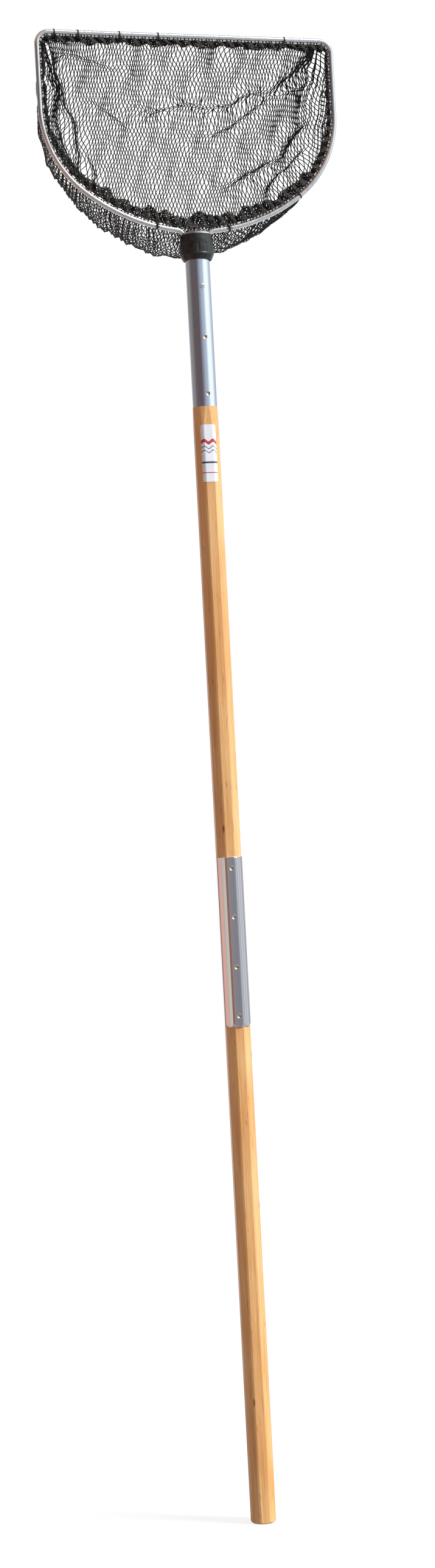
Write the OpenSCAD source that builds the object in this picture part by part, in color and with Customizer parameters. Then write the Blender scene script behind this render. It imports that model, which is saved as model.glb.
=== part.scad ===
// Long-handled landing net: two-piece octagonal wooden pole, screwed joint sleeve, round metal
// ferrule, threaded union nut, and a D-shaped hoop with a hanging net bag.
// Millimetres. +Z runs up the pole from the butt face at z = 0; the hoop lies in the XZ plane and
// the bag hangs towards +Y.

/* [Pole] */
// Across-flats size of the octagonal pole
pole_flats = 40; // [30:0.5:50]
// Radius that the pole's eight edges are eased to
pole_edge_r = 21.1; // [20:0.1:25]
// Turn of the pole's flats from the plane of the hoop
pole_turn = -8; // [-22.5:0.5:22.5]
// Height of the joint between the two pole halves
pole_joint_z = 954; // [700:1:1200]
// Width of the butt's rounded edge
butt_round = 2.4; // [0:0.1:6]

/* [Joint sleeve] */
// Length of the sleeve over the pole joint
sleeve_length = 278; // [150:1:400]
// Wall of the octagonal sleeve
sleeve_wall = 1.45; // [0.8:0.05:3]
// Distance of the outer screws from the middle of the sleeve
sleeve_outer_screw = 121; // [60:1:190]
// Distance of the inner screws from the middle of the sleeve
sleeve_inner_screw = 41; // [15:1:90]

/* [Ferrule] */
// Outside diameter of the round ferrule tube
ferrule_od = 40; // [30:0.5:50]
// Wall of the ferrule tube
ferrule_wall = 1.5; // [1:0.1:3]
// Height of the ferrule's lower end
ferrule_bottom_z = 1832.5; // [1500:0.5:2000]
// Height of the ferrule's upper end, under the bush flange
ferrule_top_z = 2084.5; // [1900:0.5:2200]
// Height of the upper ferrule screw
ferrule_screw_high_z = 1946; // [1840:1:1990]
// Height of the lower ferrule screw
ferrule_screw_low_z = 1853; // [1840:1:1940]
// Height of the rivet that holds the socket bush
rivet_z = 2029; // [2015:1:2070]

/* [Head socket] */
// Bore of the socket bush
socket_bore = 28; // [20:0.5:32]
// Running clearance of the head spigot in the bush
spigot_gap = 0.08; // [0.02:0.01:0.1]
// Length of the spigot below the bush flange top
spigot_length = 52; // [30:1:60]
// Outside diameter of the union nut
nut_od = 55; // [50:0.5:70]
// Height of the union nut
nut_height = 41; // [30:1:60]
// Number of finger grips around the nut
grip_count = 13; // [8:1:24]

/* [Hoop] */
// Diameter of the hoop rod
rod_d = 8; // [6:0.5:12]
// Half width of the hoop at the rod centre line
hoop_half_w = 253; // [150:1:400]
// Height of the hoop's flat top bar at the centre line
hoop_top_z = 2443; // [2300:1:2600]
// Centre line radius of the two top corners
corner_r = 20; // [15:1:60]
// Depth of the curved lower half
arc_depth = 197; // [120:1:260]
// Radius of the hoop's lower side curves
side_r = 169; // [120:1:190]
// Distance of each leg from the pole axis
leg_x = 20; // [15:0.5:24]
// Bend radius where the hoop turns down into the plug
leg_bend_r = 14; // [10:1:25]
// Diameter of the wire that carries the net's edge
wire_d = 2.5; // [1.5:0.1:4]

/* [Net bag] */
// How far the bag hangs behind the hoop
bag_depth = 190; // [60:5:400]
// How far the bag's back drops under its own weight
bag_drop = 130; // [0:5:250]
// Thickness of the bag's stand-in wall
bag_wall = 2; // [1:0.5:6]

/* [Hidden] */
$fn = 64;
oct_fn = 8;
oct_face_turn = 22.5;
flat_to_r = 1 / cos(22.5);

// screws and rivet
head_r = 4;
head_depth = 2.3;
shank_r = 2;
screw_length = 20;
tip_length = 4;
recess_w = 0.9;
recess_l = 4.6;
recess_deep = 1.4;
seat_gap = 0.05;
rivet_head_r = 4.2;
rivet_head_h = 1.1;
rivet_r = 2.2;
rivet_hole_r = 1.05;
rivet_length = 6.2;

// sleeve
fit_gap = 0.05;
sleeve_flats_in = pole_flats + 2 * fit_gap;
sleeve_flats = sleeve_flats_in + 2 * sleeve_wall;
sleeve_edge_in = pole_edge_r + fit_gap;
sleeve_edge = sleeve_edge_in + sleeve_wall;
sleeve_end_r = 21.55;
sleeve_end_len = 5;
sleeve_low_z = pole_joint_z - sleeve_length / 2;
sleeve_high_z = pole_joint_z + sleeve_length / 2;
joint_gap = 0.5;

// ferrule and turned pole end
ferrule_r = ferrule_od / 2;
ferrule_ri = ferrule_r - ferrule_wall;
turned_r = ferrule_ri - fit_gap;
turned_top_z = 1999;
run_out = 34;
run_out_r = 20.25;

// bush, washers, nut, plug stack
bush_shank_r = ferrule_ri - fit_gap;
bush_length = 75;
flange_r = 24.6;
flange_h = 4;
slip_h = 1.5;
slip_ri = 20.3;
washer_r = 24.8;
seat_h = 2;
seat_ri = 16;
flange_top_z = ferrule_top_z + flange_h;
plug_bottom_z = flange_top_z + seat_h;
lip_top_z = ferrule_top_z - slip_h;
lip_h = 5;
nut_recess = 4;
nut_bottom_z = lip_top_z - lip_h - nut_recess;
nut_r = nut_od / 2;
nut_lip_ri = 20.2;
nut_recess_r = 22.3;
nut_bore_r = 25.3;
nut_skirt_r = 23.9;
nut_skirt_h = 7;
nut_crown_r = 26.7;
grip_low = 10;
grip_high = 24;
grip_scoop_r = 8;
grip_deep = 0.75;

plug_r = 25.18;
plug_h = 28;
plug_top_z = plug_bottom_z + plug_h;
plug_plate = 13;
plug_wall_ri = 20.5;
plug_boss_r = 18;
plug_edge = 1;
groove_deep = 0.7;
groove_pitch = 3;
groove_count = 6;
spigot_r = socket_bore / 2 - spigot_gap;
spigot_seat = 9;
spigot_ri = 9;
spigot_lead = 2;
leg_gap = 0.05;

// hoop: side curves of side_r run into one bottom curve of bottom_r
rod_r = rod_d / 2;
arc_z = hoop_top_z - 123.5;
bottom_r = (hoop_half_w * hoop_half_w + arc_depth * arc_depth - 2 * hoop_half_w * side_r)
    / (2 * (arc_depth - side_r));
bottom_cz = arc_z - arc_depth + bottom_r;
side_cx = hoop_half_w - side_r;
bend_cx = leg_x + leg_bend_r;
bend_cz = bottom_cz - sqrt(pow(bottom_r + leg_bend_r, 2) - pow(bend_cx, 2));
bend_a = acos(bend_cx / (bottom_r + leg_bend_r));
low_arc_a = -atan2(bottom_cz - arc_z, side_cx);
bend_turn = 180 - bend_a;
collar_up = 0.02;
collar_l = 0.6;

wire_r = wire_d / 2;
wire_in = rod_r + wire_r + 0.4;
wire_end_x = 44;

// ties: small cord rings round the rod and the wire
tie_r = 0.7;
tie_in = (wire_in + wire_r - rod_r) / 2;
tie_ring_r = (wire_in + wire_r + rod_r) / 2 + tie_r + 0.15;
tie_gap = 0.85;
top_tie_x = [-224, -184, -114, -48, 171];
low_tie_x = [-66, 58];
side_tie_x = 185;

// bag
bag_in = 9;
bag_front_y = -1.5;
bag_mid_z = 2270;
bag_rings = 14;
arc_steps = 10;
corner_steps = 4;
side_steps = 3;
top_steps = 16;

// label
label_w = 25;
label_h = 94;
label_top_z = 1802;
label_thick = 0.25;
label_corner = 3;

// ---------- shared shapes ----------

// a cylinder between two heights
module between(r, z0, z1) {
    translate([0, 0, z0])
        cylinder(r = r, h = z1 - z0);
}

// an octagonal bar, one flat towards -Y after the pole's turn
module octagon(flats, z0, z1) {
    translate([0, 0, z0])
        rotate([0, 0, pole_turn + oct_face_turn])
            cylinder(r = flats / 2 * flat_to_r, h = z1 - z0, $fn = oct_fn);
}

// an octagonal bar with eased edges
module eased_octagon(flats, edge, z0, z1) {
    intersection() {
        octagon(flats, z0, z1);
        between(edge, z0, z1);
    }
}

// places children on a flat of the pole, their +Z pointing out of it at radius r
module on_flat(r, z) {
    rotate([0, 0, pole_turn])
        translate([0, -r, z])
            rotate([90, 0, 0])
                children();
}

// the same, towards the front of the ferrule, in line with the hoop
module on_front(r, z) {
    translate([0, -r, z])
        rotate([90, 0, 0])
            children();
}

// countersunk wood screw, head flush at z = 0, pointing to -Z
module screw() {
    difference() {
        screw_body(0);
        for (a = [45, 135])
            rotate([0, 0, a])
                translate([-recess_l / 2, -recess_w / 2, -recess_deep])
                    cube([recess_l, recess_w, recess_deep + 1]);
    }
}

module screw_body(gap) {
    rotate_extrude()
        polygon([
            [0, gap], [head_r + gap, gap], [head_r + gap, -0.3], [shank_r + gap, -head_depth - gap],
            [shank_r + gap, -screw_length + tip_length], [0.2, -screw_length - gap],
            [0, -screw_length - gap]
        ]);
}

// the room that a screw needs, open to the outside
module screw_room() {
    screw_body(seat_gap);
    cylinder(r = head_r + seat_gap, h = 3);
}

module sleeve_screws(d_list) {
    for (d = d_list)
        on_flat(sleeve_flats / 2, pole_joint_z + d)
            screw();
}

module sleeve_screw_rooms(d_list) {
    for (d = d_list)
        on_flat(sleeve_flats / 2, pole_joint_z + d)
            screw_room();
}

module ferrule_screw_rooms() {
    for (z = [ferrule_screw_low_z, ferrule_screw_high_z])
        on_front(ferrule_r, z)
            screw_room();
}

// ---------- pole ----------

module lower_pole() {
    color([0.82, 0.6, 0.36])
        difference() {
            intersection() {
                octagon(pole_flats, 0, pole_joint_z - joint_gap);
                union() {
                    cylinder(r1 = pole_edge_r - butt_round, r2 = pole_edge_r, h = butt_round);
                    between(pole_edge_r, butt_round, pole_joint_z - joint_gap);
                }
            }
            sleeve_screw_rooms([-sleeve_outer_screw, -sleeve_inner_screw]);
        }
}

module upper_pole() {
    color([0.82, 0.6, 0.36])
        difference() {
            union() {
                intersection() {
                    octagon(pole_flats, pole_joint_z + joint_gap, ferrule_bottom_z - fit_gap);
                    union() {
                        between(pole_edge_r, pole_joint_z + joint_gap, ferrule_bottom_z - run_out);
                        translate([0, 0, ferrule_bottom_z - run_out])
                            cylinder(r1 = pole_edge_r, r2 = run_out_r, h = run_out);
                    }
                }
                between(turned_r, ferrule_bottom_z - 1, turned_top_z);
            }
            sleeve_screw_rooms([sleeve_outer_screw, sleeve_inner_screw]);
            ferrule_screw_rooms();
        }
}

module joint_sleeve() {
    color([0.72, 0.72, 0.74])
        difference() {
            intersection() {
                octagon(sleeve_flats, sleeve_low_z, sleeve_high_z);
                union() {
                    translate([0, 0, sleeve_low_z])
                        cylinder(r1 = sleeve_end_r, r2 = sleeve_edge, h = sleeve_end_len);
                    between(sleeve_edge, sleeve_low_z + sleeve_end_len, sleeve_high_z - 1);
                    translate([0, 0, sleeve_high_z - 1])
                        cylinder(r1 = sleeve_edge, r2 = sleeve_edge - 0.5, h = 1);
                }
            }
            eased_octagon(sleeve_flats_in, sleeve_edge_in, sleeve_low_z - 1, sleeve_high_z + 1);
            sleeve_screw_rooms([
                -sleeve_outer_screw, -sleeve_inner_screw, sleeve_inner_screw, sleeve_outer_screw
            ]);
        }
}

module sleeve_screws_lower() {
    color([0.7, 0.7, 0.7])
        sleeve_screws([-sleeve_outer_screw, -sleeve_inner_screw]);
}

module sleeve_screws_upper() {
    color([0.7, 0.7, 0.7])
        sleeve_screws([sleeve_inner_screw, sleeve_outer_screw]);
}

// a rounded rectangle, cut from bars and cylinders, as a block along Y
module label_block() {
    on_flat(0, label_top_z - label_h / 2)
        translate([0, 0, 5])
            union() {
                translate([-label_w / 2 + label_corner, -label_h / 2, 0])
                    cube([label_w - 2 * label_corner, label_h, 30]);
                translate([-label_w / 2, -label_h / 2 + label_corner, 0])
                    cube([label_w, label_h - 2 * label_corner, 30]);
                for (sx = [-1, 1], sy = [-1, 1])
                    translate([
                        sx * (label_w / 2 - label_corner), sy * (label_h / 2 - label_corner), 0
                    ])
                        cylinder(r = label_corner, h = 30);
            }
}

module pole_label() {
    z0 = label_top_z - label_h - 5;
    z1 = label_top_z + 5;
    color([0.95, 0.95, 0.95])
        intersection() {
            difference() {
                eased_octagon(
                    sleeve_flats_in + 2 * label_thick, sleeve_edge_in + label_thick, z0, z1
                );
                eased_octagon(sleeve_flats_in, sleeve_edge_in, z0 - 1, z1 + 1);
            }
            label_block();
        }
}

// ---------- ferrule and head socket ----------

module ferrule_tube() {
    color([0.75, 0.76, 0.78])
        difference() {
            between(ferrule_r, ferrule_bottom_z, ferrule_top_z);
            between(ferrule_ri, ferrule_bottom_z - 1, ferrule_top_z + 1);
            ferrule_screw_rooms();
            rivet_room();
        }
}

module ferrule_screws() {
    color([0.7, 0.7, 0.7])
        for (z = [ferrule_screw_low_z, ferrule_screw_high_z])
            on_front(ferrule_r, z)
                screw();
}

// blind rivet with its drawn-out middle, head under side at z = 0
module ferrule_rivet() {
    color([0.78, 0.78, 0.8])
        on_front(ferrule_r + fit_gap, rivet_z)
            rotate_extrude()
                polygon([
                    [0, -3], [rivet_hole_r, -3], [rivet_hole_r, rivet_head_h], [2, rivet_head_h],
                    [3.4, 0.8 * rivet_head_h], [rivet_head_r, 0.35], [rivet_head_r, 0],
                    [rivet_r, 0], [rivet_r, -rivet_length], [0, -rivet_length]
                ]);
}

module rivet_room() {
    on_front(0, rivet_z)
        cylinder(r = rivet_r + fit_gap, h = ferrule_r + 5);
}

module socket_bush() {
    color([0.12, 0.12, 0.12])
        difference() {
            union() {
                between(bush_shank_r, ferrule_top_z - bush_length, ferrule_top_z + 1);
                between(flange_r, ferrule_top_z, flange_top_z);
            }
            between(socket_bore / 2, ferrule_top_z - bush_length - 1, flange_top_z + 1);
            rivet_room();
        }
}

module ring(ri, ro, z0, z1) {
    difference() {
        between(ro, z0, z1);
        between(ri, z0 - 1, z1 + 1);
    }
}

module slip_washer() {
    color([0.9, 0.9, 0.87])
        ring(slip_ri, washer_r, lip_top_z, ferrule_top_z);
}

module seat_washer() {
    color([0.1, 0.1, 0.1])
        ring(seat_ri, washer_r, flange_top_z, plug_bottom_z);
}

// one finger grip: an upright scoop with a rounded top
module grip_scoop() {
    translate([nut_r + grip_scoop_r - grip_deep, 0, grip_low])
        cylinder(r = grip_scoop_r, h = grip_high - grip_low);
    translate([nut_r + grip_scoop_r - grip_deep, 0, grip_high])
        sphere(r = grip_scoop_r);
}

module union_nut() {
    color([0.06, 0.06, 0.06])
        translate([0, 0, nut_bottom_z])
            difference() {
                rotate_extrude()
                    polygon([
                        [nut_recess_r, 0], [nut_skirt_r, 0], [nut_r - 0.6, nut_skirt_h],
                        [nut_r, nut_skirt_h + 0.6], [nut_r, nut_skirt_h + 2],
                        [nut_r - 0.2, nut_skirt_h + 2.6], [nut_r - 0.2, nut_height - 9],
                        [nut_crown_r, nut_height - 0.8], [nut_crown_r - 0.6, nut_height],
                        [nut_bore_r + 0.4, nut_height], [nut_bore_r, nut_height - 1],
                        [nut_bore_r, nut_recess + lip_h], [nut_lip_ri, nut_recess + lip_h],
                        [nut_lip_ri, nut_recess], [nut_recess_r, nut_recess]
                    ]);
                for (i = [0 : grip_count - 1])
                    rotate([0, 0, i * 360 / grip_count + 10])
                        grip_scoop();
            }
}

// ---------- head ----------

// the notch that takes a leg, open through the rim where the rod bends outwards
module leg_notch() {
    translate([leg_x, 0, bend_cz - leg_gap])
        cylinder(r = rod_r + leg_gap, h = plug_h);
    translate([leg_x, -rod_r - leg_gap, bend_cz - leg_gap])
        cube([plug_r, 2 * (rod_r + leg_gap), plug_h]);
}

module head_plug() {
    color([0.78, 0.79, 0.8])
        difference() {
            between(plug_r, plug_bottom_z, plug_top_z);
            ring(plug_boss_r, plug_wall_ri, plug_bottom_z - 1, plug_top_z - plug_plate);
            between(spigot_r + leg_gap, plug_bottom_z - 1, plug_bottom_z + spigot_seat);
            // thread turns on the barrel
            for (i = [0 : groove_count - 1])
                translate([0, 0, plug_bottom_z + 2 + i * groove_pitch])
                    rotate_extrude()
                        polygon([
                            [plug_r + 1, 0], [plug_r - groove_deep, 0.7],
                            [plug_r - groove_deep, 1.1], [plug_r + 1, 1.8]
                        ]);
            // eased top edge
            translate([0, 0, plug_top_z - plug_edge])
                rotate_extrude()
                    polygon([
                        [plug_r - plug_edge, plug_edge + 0.01], [plug_r + 1, -1],
                        [plug_r + 1, plug_edge + 0.01]
                    ]);
            for (s = [0, 1])
                mirror([s, 0, 0])
                    leg_notch();
        }
}

module head_spigot() {
    color([0.76, 0.77, 0.79])
        difference() {
            union() {
                translate([0, 0, flange_top_z - spigot_length])
                    cylinder(r1 = spigot_r - spigot_lead, r2 = spigot_r, h = spigot_lead);
                between(
                    spigot_r, flange_top_z - spigot_length + spigot_lead,
                    plug_bottom_z + spigot_seat - fit_gap
                );
            }
            between(spigot_ri, flange_top_z - spigot_length - 1, plug_bottom_z + spigot_seat + 1);
        }
}

// a bent length of rod in the XZ plane, from angle a0 to a1 about [cx, cz]
module bent(cx, cz, r_line, a0, a1, r) {
    translate([cx, 0, cz])
        rotate([90, 0, 0])
            rotate([0, 0, a0])
                rotate_extrude(angle = a1 - a0)
                    translate([r_line, 0])
                        circle(r = r);
}

// a collar a hair wider than the rod, where two lengths of it meet at angle a of a curve
module collar(cx, cz, r_line, a, r) {
    translate([cx, 0, cz])
        rotate([90, 0, 0])
            rotate([0, 0, a])
                translate([r_line, -collar_l / 2, 0])
                    rotate([-90, 0, 0])
                        cylinder(r = r + collar_up, h = collar_l);
}

// right half of the curved lower part and side, at a distance in from the hoop's centre line
module side_half(in, r, low_a) {
    bent(side_cx, arc_z, side_r - in, low_arc_a, 0, r);
    bent(0, bottom_cz, bottom_r - in, low_a, low_arc_a, r);
    collar(side_cx, arc_z, side_r - in, low_arc_a, r);
    collar(side_cx, arc_z, side_r - in, 0, r);
    translate([hoop_half_w - in, 0, arc_z])
        cylinder(r = r, h = hoop_top_z - corner_r - arc_z);
    bent(hoop_half_w - corner_r, hoop_top_z - corner_r, corner_r - in, 0, 90, r);
}

module top_bar(in, r) {
    translate([-(hoop_half_w - corner_r), 0, hoop_top_z - in])
        rotate([0, 90, 0])
            cylinder(r = r, h = 2 * (hoop_half_w - corner_r));
}

module hoop() {
    color([0.8, 0.8, 0.8])
        union() {
            top_bar(0, rod_r);
            for (s = [0, 1])
                mirror([s, 0, 0]) {
                    side_half(0, rod_r, -bend_a);
                    collar(0, bottom_cz, bottom_r, -bend_a, rod_r);
                    bent(bend_cx, bend_cz, leg_bend_r, bend_turn, 180, rod_r);
                }
        }
}

module rim_wire() {
    color([0.6, 0.6, 0.6])
        union() {
            top_bar(wire_in, wire_r);
            for (s = [0, 1])
                mirror([s, 0, 0])
                    side_half(wire_in, wire_r, -acos(wire_end_x / (bottom_r - wire_in)));
        }
}

// one tie: two cord rings, axis along the rod, set in towards the net; a is the rod's direction
module tie(x, z, a) {
    translate([x, 0, z])
        rotate([0, -a, 0])
            for (g = [-tie_gap, tie_gap])
                translate([g, 0, tie_in])
                    rotate([0, 90, 0])
                        rotate_extrude()
                            translate([tie_ring_r, 0])
                                circle(r = tie_r, $fn = 24);
}

module top_ties() {
    color([0.05, 0.05, 0.05])
        for (x = top_tie_x)
            tie(x, hoop_top_z, 180);
}

module lower_ties() {
    side_a = acos((side_tie_x - side_cx) / side_r);
    color([0.05, 0.05, 0.05]) {
        for (x = low_tie_x) {
            a = asin(x / bottom_r);
            tie(x, bottom_cz - bottom_r * cos(a), a);
        }
        tie(side_tie_x, arc_z - side_r * sin(side_a), 90 - side_a);
    }
}

// ---------- net bag ----------

// points on an arc of radius r about [cx, cz]
function arc_pts(cx, cz, r, a0, a1, n) =
    [for (i = [0 : n - 1]) [cx + r * cos(a0 + (a1 - a0) * i / n), cz + r * sin(a0 + (a1 - a0) * i / n)]];

function line_pts(p, q, n) = [for (i = [0 : n - 1]) p + (q - p) * i / n];

// the hoop's outline set in by d, as [x, z] points going round from the lowest one
function outline(d) = let (
    ba = low_arc_a,
    rc = corner_r - d,
    w = hoop_half_w - d,
    kx = hoop_half_w - corner_r,
    kz = hoop_top_z - corner_r
) concat(
    arc_pts(0, bottom_cz, bottom_r - d, -90, ba, arc_steps),
    arc_pts(side_cx, arc_z, side_r - d, ba, 0, arc_steps),
    line_pts([w, arc_z], [w, kz], side_steps),
    arc_pts(kx, kz, rc, 0, 90, corner_steps),
    line_pts([kx, kz + rc], [-kx, kz + rc], top_steps),
    arc_pts(-kx, kz, rc, 90, 180, corner_steps),
    line_pts([-w, kz], [-w, arc_z], side_steps),
    arc_pts(-side_cx, arc_z, side_r - d, 180, 180 - ba, arc_steps),
    arc_pts(0, bottom_cz, bottom_r - d, 180 - ba, 270, arc_steps)
);

// ring k of a sagging pouch: the outline shrinks by cos, goes back by sin and drops by sin squared
function pouch(base, depth, f) = [
    for (p = base) [
        p[0] * cos(f), bag_front_y + depth * sin(f),
        bag_mid_z + (p[1] - bag_mid_z) * cos(f) - bag_drop * pow(sin(f), 2)
    ]
];

module net_bag() {
    outer = outline(bag_in);
    inner = outline(bag_in + bag_wall);
    n = len(outer);
    m = bag_rings;
    back_z = bag_mid_z - bag_drop;
    pts = concat(
        [for (k = [0 : m - 1], p = pouch(outer, bag_depth, 90 * k / m)) p],
        [[0, bag_front_y + bag_depth, back_z]],
        [for (k = [0 : m - 1], p = pouch(inner, bag_depth - bag_wall, 90 * k / m)) p],
        [[0, bag_front_y + bag_depth - bag_wall, back_z]]
    );
    tip = n * m;
    in0 = tip + 1;
    tip2 = in0 + n * m;
    faces = concat(
        [for (k = [0 : m - 2], j = [0 : n - 1])
            [k * n + j, k * n + (j + 1) % n, (k + 1) * n + (j + 1) % n]],
        [for (k = [0 : m - 2], j = [0 : n - 1])
            [k * n + j, (k + 1) * n + (j + 1) % n, (k + 1) * n + j]],
        [for (j = [0 : n - 1]) [(m - 1) * n + j, (m - 1) * n + (j + 1) % n, tip]],
        [for (k = [0 : m - 2], j = [0 : n - 1])
            [in0 + k * n + j, in0 + (k + 1) * n + (j + 1) % n, in0 + k * n + (j + 1) % n]],
        [for (k = [0 : m - 2], j = [0 : n - 1])
            [in0 + k * n + j, in0 + (k + 1) * n + j, in0 + (k + 1) * n + (j + 1) % n]],
        [for (j = [0 : n - 1])
            [in0 + (m - 1) * n + (j + 1) % n, in0 + (m - 1) * n + j, tip2]],
        [for (j = [0 : n - 1]) [j, in0 + j, in0 + (j + 1) % n]],
        [for (j = [0 : n - 1]) [j, in0 + (j + 1) % n, (j + 1) % n]]
    );
    color([0.08, 0.08, 0.08])
        polyhedron(points = pts, faces = faces, convexity = 6);
}

lower_pole();
upper_pole();
joint_sleeve();
sleeve_screws_lower();
sleeve_screws_upper();
pole_label();
ferrule_tube();
ferrule_screws();
ferrule_rivet();
socket_bush();
slip_washer();
union_nut();
seat_washer();
head_plug();
head_spigot();
hoop();
rim_wire();
top_ties();
lower_ties();
net_bag();
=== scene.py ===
import math

import bpy
import numpy as np
from mathutils import Matrix, Vector


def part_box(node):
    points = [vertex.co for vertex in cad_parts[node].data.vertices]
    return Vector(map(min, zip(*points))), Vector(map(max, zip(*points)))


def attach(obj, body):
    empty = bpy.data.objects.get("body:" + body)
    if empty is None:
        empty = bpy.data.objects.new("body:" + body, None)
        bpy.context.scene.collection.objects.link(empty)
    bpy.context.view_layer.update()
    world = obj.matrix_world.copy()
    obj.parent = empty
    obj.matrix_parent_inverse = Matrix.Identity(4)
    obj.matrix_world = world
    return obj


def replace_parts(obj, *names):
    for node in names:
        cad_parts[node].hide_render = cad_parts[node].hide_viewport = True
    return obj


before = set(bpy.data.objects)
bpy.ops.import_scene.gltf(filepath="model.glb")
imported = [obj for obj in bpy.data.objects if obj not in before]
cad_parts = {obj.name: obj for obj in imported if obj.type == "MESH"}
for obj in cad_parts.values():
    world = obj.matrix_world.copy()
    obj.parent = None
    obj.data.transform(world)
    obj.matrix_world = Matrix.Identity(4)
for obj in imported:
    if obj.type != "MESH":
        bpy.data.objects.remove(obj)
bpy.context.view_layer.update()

MM = 0.001

# Sizes of the part's source that pieces here are fitted to, in millimetres and degrees
HOOP_HALF_W, HOOP_TOP_Z, CORNER_R, ARC_Z = 253.0, 2443.0, 20.0, 2319.5
SIDE_R, SIDE_CX, LOW_R, LOW_CZ = 169.0, 84.0, 309.0, 2431.5
ARC_JOINT = math.radians(-53.1301)  # where the side curve meets the bottom curve
WIRE_R, WIRE_IN = 1.25, 5.65  # the wire, and how far inside the hoop's centre line it lies
NUT_R, NUT_TOP_Z = 27.5, 2118.5
BAG_BACK_Y = 186.0
TOP_TIE_X = [-224.0, -184.0, -114.0, -48.0, 171.0]
LOW_TIE_X = [-66.0, 58.0]
SIDE_TIE_X = 185.0
SLEEVE_R, SLEEVE_AZIMUTH, SLEEVE_Z = 21.5, -8, 954  # centre to flat, a flat's facing, its middle
SLEEVE_SCREW_NEAR, SLEEVE_SCREW_FAR = 41, 121  # screws above and below the sleeve's middle
FERRULE_R, FERRULE_SCREW_Z = 20.0, [1853, 1946]


# ---------------------------------------------------------------- finishes


# A colour Mix node's sockets go by number, because its three kinds of value share names
FACTOR, FIRST, SECOND, MIXED = 0, 6, 7, 2
BLEND = {"data_type": "RGBA"}
MULTIPLY = {"data_type": "RGBA", "blend_type": "MULTIPLY"}


def linear(code):
    """an sRGB hex colour as linear red, green, blue and alpha"""
    parts = [int(code[i:i + 2], 16) / 255 for i in (1, 3, 5)]
    return [c / 12.92 if c <= 0.04045 else ((c + 0.055) / 1.055) ** 2.4 for c in parts] + [1.0]


def cells(x_mm, y_mm, z_mm):
    """mapping scale that gives one pattern cell the stated size in millimetres"""
    return (1000 / x_mm, 1000 / y_mm, 1000 / z_mm)


def add(tree, kind, inputs=None, stops=(), **settings):
    """One node with its settings, and its inputs as values or as the sockets that feed them.
    Stops are a colour ramp's positions and hex colours."""
    node = tree.nodes.new(kind)
    for key, value in settings.items():
        setattr(node, key, value)
    for key, value in (inputs or {}).items():
        if isinstance(value, bpy.types.NodeSocket):
            tree.links.new(value, node.inputs[key])
        else:
            node.inputs[key].default_value = value
    if stops:
        band = node.color_ramp
        while len(band.elements) < len(stops):
            band.elements.new(0.5)
        for element, (position, code) in zip(band.elements, stops):
            element.position, element.color = position, linear(code)
    return node


def start(name):
    """a material with no nodes but its Object coordinates: itself, its tree, and those"""
    mat = bpy.data.materials.new(name)
    mat.use_nodes = True
    tree = mat.node_tree
    tree.nodes.clear()
    return mat, tree, add(tree, "ShaderNodeTexCoord").outputs["Object"]


def surface(mat, inputs):
    """the material with its shader, and that shader as its surface"""
    shader = add(mat.node_tree, "ShaderNodeBsdfPrincipled", inputs)
    add(mat.node_tree, "ShaderNodeOutputMaterial", {"Surface": shader.outputs["BSDF"]})
    return mat


def grain(tree, place, size, detail=2.0, shift=(0, 0, 0), rough=0.5):
    """a noise pattern whose cells are size millimetres along x, y and z"""
    spot = add(tree, "ShaderNodeMapping", {
        "Vector": place, "Scale": cells(*size), "Location": shift,
    })
    return add(tree, "ShaderNodeTexNoise", {
        "Vector": spot.outputs["Vector"], "Scale": 1.0, "Detail": detail, "Roughness": rough,
    }).outputs["Fac"]


# Varnished softwood: planed on eight sides and dipped in clear varnish. Straight fine grain runs
# up the pole over broad honey bands, with pin knots and short resin streaks; the varnish is a
# smooth coat that lights up whole flats.
def varnished_softwood():
    mat, tree, place = start("varnished_softwood")
    fibre = grain(tree, place, (0.9, 0.9, 55), 3.0)
    bands = grain(tree, place, (7, 7, 420), 2.0, (3.1, 0.7, 0.2))
    cloud = grain(tree, place, (34, 34, 120), 1.0, (0.3, 2.2, 5.0))
    resin = grain(tree, place, (1.5, 1.5, 26), 1.0, (7, 1, 3))
    spots = add(tree, "ShaderNodeMapping", {"Vector": place, "Scale": cells(34, 34, 130)})
    pin_knots = add(tree, "ShaderNodeTexVoronoi", {
        "Vector": spots.outputs["Vector"], "Scale": 1.0,
    }, feature="F1").outputs["Distance"]
    colour = add(tree, "ShaderNodeValToRGB", {"Fac": bands}, [
        (0.34, "#e0ad70"), (0.5, "#eabd82"), (0.66, "#daa86c"),
    ]).outputs["Color"]
    for share, pattern, stops in (
        (0.38, fibre, [(0.3, "#c9935a"), (0.52, "#ffffff"), (0.75, "#f6e3c8")]),
        (0.55, cloud, [(0.32, "#ecd0ac"), (0.6, "#ffffff")]),
        (1.0, pin_knots, [(0.018, "#7a4824"), (0.034, "#c08a55"), (0.075, "#ffffff")]),
        (0.8, resin, [(0.70, "#ffffff"), (0.76, "#a5683a")]),
    ):
        tint = add(tree, "ShaderNodeValToRGB", {"Fac": pattern}, stops).outputs["Color"]
        colour = add(tree, "ShaderNodeMix", {
            FACTOR: share, FIRST: colour, SECOND: tint,
        }, **MULTIPLY).outputs[MIXED]
    rough = add(tree, "ShaderNodeMapRange", {"Value": fibre, "To Min": 0.38, "To Max": 0.52})
    relief = add(tree, "ShaderNodeBump", {
        "Height": fibre, "Strength": 0.12, "Distance": 0.3 * MM,
    })
    return surface(mat, {
        "Base Color": colour, "Roughness": rough.outputs["Result"],
        "Normal": relief.outputs["Normal"], "IOR": 1.5,
        "Coat Weight": 0.35, "Coat Roughness": 0.18, "Coat IOR": 1.52,
    })


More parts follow.
